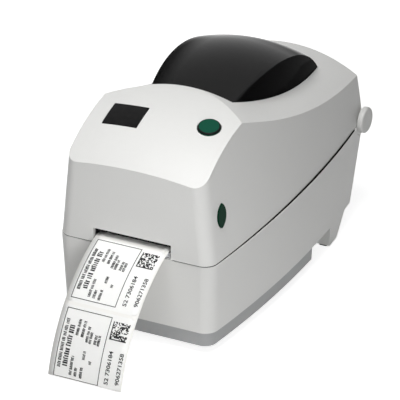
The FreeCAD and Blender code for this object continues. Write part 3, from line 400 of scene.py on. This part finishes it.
def webLine():
    # side view of the web: the line that crosses between roll and platen and touches both, then
    # over the platen, a short bend and a long hanging arc
    centres = ("rollCentre", "platenCentre", "bendCentre")
    roll, platen, bend = [np.array(web[key]) for key in centres]
    apart = roll - platen
    crossing = math.asin((web["rollReach"] + web["platenReach"]) / np.hypot(*apart))
    aim = math.atan2(apart[1], apart[0]) - crossing
    lean = math.radians(web["leanStart"])
    last = lean + math.radians(web["leanTurn"])
    hang = bend + np.array([math.cos(lean), math.sin(lean)]) * (web["bendReach"] - web["hangReach"])

    def arc(centre, reach, start, stop, count):
        angle = np.linspace(start, stop, count)
        return centre + reach * np.stack([np.cos(angle), np.sin(angle)], -1)

    leave = roll - web["rollReach"] * np.array([-math.sin(aim), math.cos(aim)])
    top, rows = math.pi / 2, web["bendRows"]
    points = np.vstack([leave[None], arc(platen, web["platenReach"], aim + top, top, rows),
                        arc(bend, web["bendReach"], top, lean, rows),
                        arc(hang, web["hangReach"], lean, last, web["hangRows"])])
    along = np.r_[0, np.cumsum(np.hypot(*np.diff(points, axis=0).T))]
    return along, points


webAlong, webPoints = webLine()
webLong = float(webAlong[-1])


def onWeb(x, along, lift):
    # point of the web at x, a length along it from the roll, lifted square to its upper face
    step = 0.4
    spot = [np.interp(along, webAlong, webPoints[:, i]) for i in (0, 1)]
    ahead = [np.interp(along + step, webAlong, webPoints[:, i]) for i in (0, 1)]
    behind = [np.interp(along - step, webAlong, webPoints[:, i]) for i in (0, 1)]
    run = [ahead[0] - behind[0], ahead[1] - behind[1]]
    size = np.hypot(*run)
    y = spot[0] + run[1] / size * lift
    z = spot[1] - run[0] / size * lift
    return np.stack(np.broadcast_arrays(x, y, z), -1) * mm


def makeBacking():
    # flat strip carried along the web line, given its thickness by Solidify
    x = np.linspace(web["left"], web["right"], web["columns"])[None, :]
    along = np.linspace(0, webLong, web["rows"])[:, None]
    points = onWeb(x, along, web["faceLift"])
    faces = gridFaces(web["rows"], web["columns"])
    piece = addPiece("label_backing", points, faces, "liner", "base")
    wall = piece.modifiers.new("paperThick", "SOLIDIFY")
    wall.thickness = web["backing"] * mm
    wall.offset = 0
    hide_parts("label_strip")
    return piece


def makeLabel(index):
    # rounded rectangle: its half width shrinks along a quarter circle towards both ends
    end = web["labelEnd"] + web["labelPitch"] * (1 - index)
    start, stop = end - web["labelLong"], min(end, webLong - web["endSpare"])
    bend = web["cornerRound"]
    ends = bend * (1 - np.cos(np.linspace(0, math.pi / 2, web["cornerRows"])))
    straight = np.linspace(start + bend, stop - bend, web["labelRows"])[1:-1]
    along = np.r_[start + ends, straight, stop - ends[::-1]]
    near = np.clip(bend - np.minimum(along - start, stop - along), 0, bend)
    half = ((web["right"] - web["left"]) / 2 - web["labelInset"] - bend
            + np.sqrt(bend ** 2 - near ** 2))
    across = np.linspace(-1, 1, web["columns"])[None, :]
    middle = (web["left"] + web["right"]) / 2
    lift = web["faceLift"] + web["backing"] / 2 + web["clear"]
    points = onWeb(middle + across * half[:, None], along[:, None], lift)
    faces = gridFaces(len(along), web["columns"])
    piece = addPiece(f"label_{index}", points, faces, "label_paper", "base")
    wall = piece.modifiers.new("paperThick", "SOLIDIFY")
    wall.thickness = web["labelThick"] * mm
    wall.offset = 1
    return piece


ink = {"frameLeft": -21.0, "frameRight": 6.6, "frameStart": 107.4, "frameStop": 145.8,
       "frameLine": 0.42, "codeLeft": 8.0, "codeStart": 109.2, "codeSize": 10.2, "codeCells": 16,
       "shift": 0.4, "codeFill": 0.52, "cellGrow": 1.01, "firstWord": (4, 9), "nextWord": (3, 8),
       "wordGap": 0.8, "strokeShare": (0.5, 0.8), "dropShare": (0.5, 0.5, 0.36),
       "footChance": 0.45, "footTall": 0.42, "footWide": 0.95, "digitSteps": 3,
       "digitBold": 0.022, "rowLong": 1.2, "endSpare": 0.4, "seeds": (11, 12), "above": 0.025}
inkLift = web["faceLift"] + web["backing"] / 2 + web["clear"] + web["labelThick"] + ink["above"]
# rows of short bars in place of words: x of the row's middle, start and stop along the web, bar
# height and bar width
inkRows = [(-18.4, 140.4, 112.8, 2.0, 0.78), (-14.9, 139.2, 114.8, 3.0, 1.25),
           (-10.9, 143.4, 132.0, 1.7, 0.62), (-11.3, 121.4, 112.2, 1.7, 0.62),
           (-7.9, 143.6, 138.6, 1.7, 0.62), (-8.0, 121.8, 112.4, 1.7, 0.62),
           (-4.6, 144.0, 137.6, 1.7, 0.62), (-4.4, 133.6, 128.6, 1.7, 0.62),
           (-4.8, 124.0, 114.6, 1.6, 0.6), (-2.7, 124.4, 117.4, 1.6, 0.6),
           (-0.2, 135.4, 133.0, 1.7, 0.62), (0.4, 124.2, 118.0, 1.6, 0.6),
           (2.4, 124.6, 118.2, 1.6, 0.6)]
# numbers: x of the foot line, start and stop along the web, height, digits
inkDigits = [(12.4, 144.0, 125.4, 2.5, "52 7306184"), (19.0, 143.0, 125.4, 2.5, "906271358")]


def barMarks(seed):
    # each mark is (left, right, start, stop) on the flat web: a frame of four lines, rows of
    # strokes that some feet join and gaps part into words, and a square of cells filled at random
    draw = np.random.default_rng(seed)
    line, marks = ink["frameLine"], []
    left, right = ink["frameLeft"], ink["frameRight"]
    start, stop = ink["frameStart"], ink["frameStop"]
    marks += [(left, right, start, start + line), (left, right, stop - line, stop),
              (left, left + line, start, stop), (right - line, right, start, stop)]
    for middle, begin, end, tall, wide in inkRows:
        spot, wordLeft = begin, int(draw.integers(*ink["firstWord"]))
        while spot - wide > end:
            stroke = wide * draw.uniform(*ink["strokeShare"])
            low = tall * draw.choice(ink["dropShare"])
            marks.append((middle - low, middle + tall / 2, spot - stroke, spot))
            if draw.random() < ink["footChance"]:
                foot = middle - low + ink["footTall"]
                marks.append((middle - low, foot, spot - wide * ink["footWide"], spot))
            spot -= wide
            wordLeft -= 1
            if wordLeft == 0:
                spot -= wide * ink["wordGap"]
                wordLeft = int(draw.integers(*ink["nextWord"]))
    cell = ink["codeSize"] / ink["codeCells"]
    grown = cell * ink["cellGrow"]
    filled = draw.random((ink["codeCells"], ink["codeCells"])) < ink["codeFill"]
    filled[:, 0] = True
    filled[-1, :] = True
    for row, column in np.argwhere(filled):
        x, along = ink["codeLeft"] + column * cell, ink["codeStart"] + row * cell
        marks.append((x, x + grown, along, along + grown))
    return marks


def digitShapes(words, x, start, stop, tall):
    # outline numerals laid flat, then stretched to run from start to stop along the web
    curve = bpy.data.curves.new("numerals", "FONT")
    curve.body = words
    curve.resolution_u = ink["digitSteps"]
    curve.offset = ink["digitBold"]
    writing = bpy.data.objects.new("numerals", curve)
    bpy.context.scene.collection.objects.link(writing)
    graph = bpy.context.evaluated_depsgraph_get()
    flat = bpy.data.meshes.new_from_object(writing.evaluated_get(graph))
    points = np.empty(len(flat.vertices) * 3)
    flat.vertices.foreach_get("co", points)
    points = points.reshape(-1, 3)
    faces = [list(face.vertices) for face in flat.polygons]
    bpy.data.objects.remove(writing)
    bpy.data.meshes.remove(flat)
    low, high = points.min(0), points.max(0)
    share = (points - low) / np.where(high - low > 0, high - low, 1)
    return x - share[:, 1] * tall, start + (stop - start) * share[:, 0], faces


def makePrint(index, seed):
    # every mark is a small grid of the web's surface, a hair above the label
    shift = web["labelPitch"] * (1 - index)
    side = ink["shift"] * (1 - index)
    points, faces, count = [], [], 0
    for left, right, start, stop in barMarks(seed):
        rows = max(2, int(math.ceil((stop - start) / ink["rowLong"])) + 1)
        along = np.minimum(np.linspace(start, stop, rows) + shift, webLong - ink["endSpare"])
        x = np.array([[left, right]]) + side
        points.append(onWeb(x, along[:, None], inkLift).reshape(-1, 3))
        faces += (gridFaces(rows, 2) + count).tolist()
        count += rows * 2
    for x, start, stop, tall, words in inkDigits:
        across, along, shapes = digitShapes(words, x, start, stop, tall)
        points.append(onWeb(across + side, along + shift, inkLift).reshape(-1, 3))
        faces += [[spot + count for spot in shape] for shape in shapes]
        count += len(across)
    return addPiece(f"label_print_{index}", np.vstack(points), faces, "ink", "base",
                    smooth=False)


backing = makeBacking()
labels = [makeLabel(index) for index in range(web["labels"])]
prints = [makePrint(index, seed) for index, seed in enumerate(ink["seeds"])]
print("label web:", round(webLong, 1), "mm long")


# wound pieces: label roll and ribbons; no layer stands out or sinks in by more than these shares of
# the usual unevenness
winding = {"standOut": 0.5, "sinkIn": 2.0, "crispAngle": 50.0}


def makeWinding(name, node, body, finish, look):
    # closed outline of radius against x, carried round an axis along X; uneven layers rib its ends
    draw = np.random.default_rng(look["seed"])
    radius = np.linspace(look["inner"], look["outer"] - look["edge"], look["layers"])
    uneven = look["uneven"]
    wobble = draw.normal(0, uneven, (2, look["layers"]))
    wobble = np.clip(wobble, -winding["sinkIn"] * uneven, winding["standOut"] * uneven)
    leftX = look["left"] - wobble[0]
    rightX = look["right"] + wobble[1]
    lip = np.array([look["outer"]])
    radii = np.r_[radius, lip, lip, radius[::-1]]
    spots = np.r_[leftX, look["left"] + look["edge"], look["right"] - look["edge"], rightX[::-1]]
    turn = np.linspace(0, 2 * math.pi, look["steps"], endpoint=False)[None, :]
    y = look["centre"][0] + radii[:, None] * np.cos(turn)
    z = look["centre"][1] + radii[:, None] * np.sin(turn)
    points = np.stack(np.broadcast_arrays(spots[:, None], y, z), -1) * mm
    faces = gridFaces(len(radii), look["steps"], True, True)
    piece = addPiece(name, points, faces, finish, body, outward=True)
    crisp = piece.modifiers.new("layerEdges", "EDGE_SPLIT")
    crisp.split_angle = math.radians(winding["crispAngle"])
    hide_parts(node)
    return piece


makeWinding("label_roll_wound", "label_roll", "roll", "roll_white",
            {"seed": 3, "inner": 19.05, "outer": 50.0, "left": -23.7, "right": 21.3, "layers": 56,
             "uneven": 0.05, "edge": 0.25, "steps": 160, "centre": (14.0, 73.0)})
makeWinding("supply_ribbon_wound", "supply_ribbon", "supply", "ribbon_black",
            {"seed": 4, "inner": 4.05, "outer": 15.0, "left": -22.0, "right": 19.6, "layers": 26,
             "uneven": 0.04, "edge": 0.15, "steps": 96, "centre": (-55.0, 88.0)})
makeWinding("takeup_ribbon_wound", "takeup_ribbon", "takeup", "takeup_black",
            {"seed": 5, "inner": 4.05, "outer": 7.5, "left": -22.0, "right": 19.6, "layers": 12,
             "uneven": 0.04, "edge": 0.15, "steps": 72, "centre": (-84.0, 92.0)})
print("windings made")


# coil springs behind the latches and over the print head
def coilPoints(start, stop, reach, wire, turns):
    # circle of the wire's radius carried along a helix
    start, stop = np.array(start), np.array(stop)
    axis = (stop - start) / np.linalg.norm(stop - start)
    side = np.array([0.0, 1.0, 0.0]) if abs(axis[1]) < 0.9 else np.array([1.0, 0.0, 0.0])
    other = np.cross(axis, side)
    stepsPerTurn, sides = 26, 8
    share = np.linspace(0, 1, int(turns * stepsPerTurn) + 1)
    angle = share * turns * 2 * math.pi
    length = np.linalg.norm(stop - start) - 2 * wire
    radial = np.cos(angle)[:, None] * side + np.sin(angle)[:, None] * other
    line = start + axis * wire + radial * reach + axis * (share * length)[:, None]
    ring = np.linspace(0, 2 * math.pi, sides + 1)[:-1]
    offset = np.cos(ring)[None, :, None] * radial[:, None] + np.sin(ring)[None, :, None] * axis
    points = (line[:, None] + wire * offset).reshape(-1, 3)
    faces = gridFaces(len(share), sides, False, True).tolist()
    faces += [list(range(sides)), list(range(len(points) - sides, len(points)))]
    return points * mm, faces


springs = {"reach": 2.5, "wire": 0.35, "latchY": -88.5, "latchZ": 81.5, "seat": 33.0, "latch": 38.0,
           "headX": (-14.0, 11.0), "headY": -88.0, "headLow": 70.0, "headHigh": 78.0,
           "latchTurns": 4, "headTurns": 5}
for side, sign in (("left", -1), ("right", 1)):
    points, faces = coilPoints((sign * springs["seat"], springs["latchY"], springs["latchZ"]),
                               (sign * springs["latch"], springs["latchY"], springs["latchZ"]),
                               springs["reach"], springs["wire"], springs["latchTurns"])
    coil = addPiece(f"latch_coil_{side}", points, faces, "steel", "lid", outward=True)
    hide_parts(f"latch_spring_{side}")
    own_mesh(coil)
headCoils = [coilPoints((x, springs["headY"], springs["headLow"]),
                        (x, springs["headY"], springs["headHigh"]),
                        springs["reach"], springs["wire"], springs["headTurns"])
             for x in springs["headX"]]
shifted = [[spot + len(headCoils[0][0]) for spot in face] for face in headCoils[1][1]]
points = np.vstack([headCoils[0][0], headCoils[1][0]])
faces = headCoils[0][1] + shifted
coil = addPiece("head_coils", points, faces, "steel", "lid", outward=True)
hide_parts("head_springs")
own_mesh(coil)
print("springs made")


# dark strip inside the joint between base and lid: painted shade, standing in for the shadow deep
# in the gap
seam = {"halfFront": 47.2, "halfRear": 44.7, "front": -103.8, "rear": 104.0, "bow": 740.0,
        "corner": 8.0, "inset": 0.4, "wide": 1.4, "low": -0.3, "high": 0.05, "splitFront": 55.9,
        "splitRear": 60.5, "rearEnd": 82.0, "slotLeft": -26.0, "slotRight": 23.6,
        "sideSteps": 60, "cornerSteps": 14}


def seamSide(inset):
    # right half of the casing's outline, shrunk by inset: bowed side, round corner, straight front
    low = np.array([seam["halfFront"], seam["front"]])
    high = np.array([seam["halfRear"], seam["rear"]])
    chord = high - low
    outward = np.array([chord[1], -chord[0]]) / np.hypot(*chord)
    sink = math.sqrt(seam["bow"] ** 2 - (np.hypot(*chord) / 2) ** 2)
    centre = (low + high) / 2 - outward * sink
    cornerY = seam["front"] + seam["corner"]
    inward = seam["bow"] - seam["corner"]
    cornerX = centre[0] + math.sqrt(inward ** 2 - (cornerY - centre[1]) ** 2)
    reach = seam["bow"] - inset
    touch = math.atan2(cornerY - centre[1], cornerX - centre[0])
    end = math.asin((seam["rearEnd"] - centre[1]) / reach)
    sideAngle = np.linspace(end, touch, seam["sideSteps"])
    side = centre + reach * np.stack([np.cos(sideAngle), np.sin(sideAngle)], -1)
    turn = np.linspace(touch, -math.pi / 2, seam["cornerSteps"])[1:]
    bend = seam["corner"] - inset
    corner = np.array([cornerX, cornerY]) + bend * np.stack([np.cos(turn), np.sin(turn)], -1)
    return np.vstack([side, corner])


def makeSeamShade(name, sign, stop):
    # rectangle carried along the joint: four long edges, at two insets and two heights over it
    outer, inner = seam["inset"], seam["inset"] + seam["wide"]
    rise = (seam["splitRear"] - seam["splitFront"]) / (seam["rear"] - seam["front"])
    edges = []
    for inset, height in ((outer, "low"), (outer, "high"), (inner, "high"), (inner, "low")):
        run = seamSide(inset)
        run = np.vstack([run * np.array([sign, 1.0]), [[stop, run[-1, 1]]]])
        z = seam["splitFront"] + rise * (run[:, 1] - seam["front"]) + seam[height]
        edges.append(np.column_stack([run, z]))
    points = np.stack(edges, 1) * mm
    faces = gridFaces(len(points), 4, False, True).tolist()
    faces += [[0, 1, 2, 3], [len(points) * 4 - 4 + spot for spot in range(4)]]
    return addPiece(name, points, faces, "painted_shade", "base", smooth=False,
                    outward=True)


# dark sheet inside the lid's front wall, hanging a little way down behind the label slot: painted
# shade, standing in for the shadow inside the slot
slotShade = {"left": -27.6, "right": 25.2, "front": -101.3, "back": -100.3, "low": 62.2,
           "high": 69.0}


def makeSlotShade():
    # box: the lower outline repeated at the top
    xs, ys = (slotShade["left"], slotShade["right"]), (slotShade["front"], slotShade["back"])
    outline = [(xs[0], ys[0]), (xs[1], ys[0]), (xs[1], ys[1]), (xs[0], ys[1])]
    levels = (slotShade["low"], slotShade["high"])
    points = np.array([[(x, y, level) for x, y in outline] for level in levels]) * mm
    faces = gridFaces(2, 4, False, True).tolist() + [[0, 1, 2, 3], [4, 5, 6, 7]]
    return addPiece("slot_shade", points, faces, "painted_shade", "lid", smooth=False,
                    outward=True)


# dark strips in the joint on both sides, as painted shade
makeSeamShade("seam_shade_right", 1.0, seam["slotRight"])
makeSeamShade("seam_shade_left", -1.0, seam["slotLeft"])
makeSlotShade()
print("felt pieces made")


# dark ring over the rounded edge of the feed button: painted shade, standing in for the shadow in
# the gap round the button
rim = {"place": (28.2, -68.2, 122.122), "normal": (0.0976951, -0.2659925, 0.9590118), "reach": 5.6,
       "height": 0.3, "outer": 0.83, "inner": 0.55, "steps": 96, "sectionSteps": 7}


def makeButtonShade():
    # quarter of a ring's section, standing on the button's edge, carried round the button's axis
    normal = np.array(rim["normal"])
    side = np.cross(normal, (0.0, 1.0, 0.0))
    side = side / np.linalg.norm(side)
    other = np.cross(normal, side)
    turn = np.linspace(0, math.pi / 2, rim["sectionSteps"])
    quarter = np.stack([np.sin(turn), np.cos(turn)], -1)
    section = np.vstack([quarter * rim["outer"], quarter[::-1] * rim["inner"]])
    around = np.linspace(0, 2 * math.pi, rim["steps"], endpoint=False)
    radial = np.cos(around)[:, None] * side + np.sin(around)[:, None] * other
    points = (np.array(rim["place"]) + (rim["height"] + section[:, 1])[:, None, None] * normal
              + (rim["reach"] + section[:, 0])[:, None, None] * radial[None]) * mm
    faces = gridFaces(len(section), rim["steps"], True, True)
    # the badge's black finish serves here as painted shade
    return addPiece("button_shade_rim", points, faces, "badge_black", "button",
                    outward=True)


makeButtonShade()
print("button rim made")


# floor, light and camera
stage = {"floor": 5.0, "floorColour": (0.66, 0.66, 0.66, 1.0), "lift": 0.78, "near": 0.25,
         "far": 0.6, "worldLight": 0.05}
# the back lamp isn't mirrored, because it would show as a glare on the window
lamps = {
    "key": {"place": (0.03, -0.26, 0.74), "target": (0, -0.06, 0.08), "size": 0.4,
            "power": 3.9, "spread": 180, "mirrored": True},
    "fill": {"place": (0.32, -0.45, 0.20), "target": (0.03, -0.13, 0.06), "size": 0.28,
             "power": 0.14, "spread": 56, "mirrored": True},
    "back": {"place": (-0.60, 0.55, 0.14), "target": (-0.01, 0.02, 0.06), "size": 0.4,
             "power": 0.8, "spread": 90, "mirrored": False},
}
photoView = {"place": (0.88607, -1.77255, 1.04132), "azimuth": 26.869, "elevation": 26.791,
             "lens": 349.65, "sensor": 36.0, "clip": (0.05, 50.0)}


def seenRay(tree):
    # 1 for rays from the camera, mirrors and glass, 0 for rays that carry light
    path = addNode(tree, "ShaderNodeLightPath").outputs
    seen = sums(tree, "MAXIMUM", path["Is Camera Ray"], path["Is Glossy Ray"])
    return sums(tree, "MAXIMUM", seen, path["Is Transmission Ray"])


def makeFloor():
    size = stage["floor"]
    mesh = bpy.data.meshes.new("floor")
    corners = [(-size, -size, 0), (size, -size, 0), (size, size, 0), (-size, size, 0)]
    mesh.from_pydata(corners, [], [(0, 1, 2, 3)])
    finish, tree, shader = newFinish("floor_paper")
    shader.inputs["Base Color"].default_value = stage["floorColour"]
    shader.inputs["Roughness"].default_value = 0.9
    shader.inputs["Specular IOR Level"].default_value = 0.0
    # lifted to white far from the printer, where the lamps fade, and less near it for the shadow
    spot = addNode(tree, "ShaderNodeTexCoord").outputs["Object"]
    away = addNode(tree, "ShaderNodeVectorMath", {"operation": "LENGTH"}, {0: spot})
    lift = addNode(tree, "ShaderNodeMapRange", None,
                   {"Value": away.outputs["Value"], "From Min": stage["near"],
                    "From Max": stage["far"], "To Min": stage["lift"], "To Max": 1.0}).outputs[0]
    shader.inputs["Emission Color"].default_value = (1, 1, 1, 1)
    tree.links.new(sums(tree, "MULTIPLY", seenRay(tree), lift), shader.inputs["Emission Strength"])
    mesh.materials.append(finish)
    floor = bpy.data.objects.new("floor", mesh)
    bpy.context.scene.collection.objects.link(floor)


def makeWorld():
    world = bpy.data.worlds.new("studio")
    world.use_nodes = True
    tree = world.node_tree
    sky = tree.nodes["Background"]
    sky.inputs["Color"].default_value = (1, 1, 1, 1)
    span = addNode(tree, "ShaderNodeMapRange", None,
                   {"Value": seenRay(tree), "To Min": stage["worldLight"], "To Max": 1.0})
    tree.links.new(span.outputs[0], sky.inputs["Strength"])
    bpy.context.scene.world = world


def aimed(back, up):
    # turn whose local Z points from the target back to the lamp or camera
    back = np.array(back) / np.linalg.norm(back)
    right = np.cross(up, back)
    right = right / np.linalg.norm(right)
    turn = np.eye(4)
    turn[:3, 0], turn[:3, 1], turn[:3, 2] = right, np.cross(back, right), back
    return turn


def makeLamp(name, look):
    lamp = bpy.data.lights.new(name, "AREA")
    lamp.shape = "DISK"
    lamp.size = look["size"]
    lamp.energy = look["power"]
    lamp.spread = math.radians(look["spread"])
    holder = bpy.data.objects.new(name, lamp)
    turn = aimed(np.array(look["place"]) - np.array(look["target"]), (0, 0, 1))
    turn[:3, 3] = look["place"]
    holder.matrix_world = Matrix(turn.tolist())
    holder.visible_glossy = look["mirrored"]
    bpy.context.scene.collection.objects.link(holder)


def makeCamera():
    # the camera looks back along a direction given by its turn round Z and its rise above the floor
    turn, rise = math.radians(photoView["azimuth"]), math.radians(photoView["elevation"])
    back = (math.sin(turn) * math.cos(rise), -math.cos(turn) * math.cos(rise), math.sin(rise))
    spot = aimed(back, (0, 0, 1))
    spot[:3, 3] = photoView["place"]
    eye = bpy.data.cameras.new("photo_view")
    eye.sensor_width = photoView["sensor"]
    eye.lens = photoView["lens"]
    eye.clip_start, eye.clip_end = photoView["clip"]
    holder = bpy.data.objects.new("photo_view", eye)
    holder.matrix_world = Matrix(spot.tolist())
    bpy.context.scene.collection.objects.link(holder)
    bpy.context.scene.camera = holder


makeFloor()
makeWorld()
for lampName, lampLook in lamps.items():
    makeLamp(lampName, lampLook)
makeCamera()
bpy.context.scene.view_settings.view_transform = "Standard"
print("stage set")
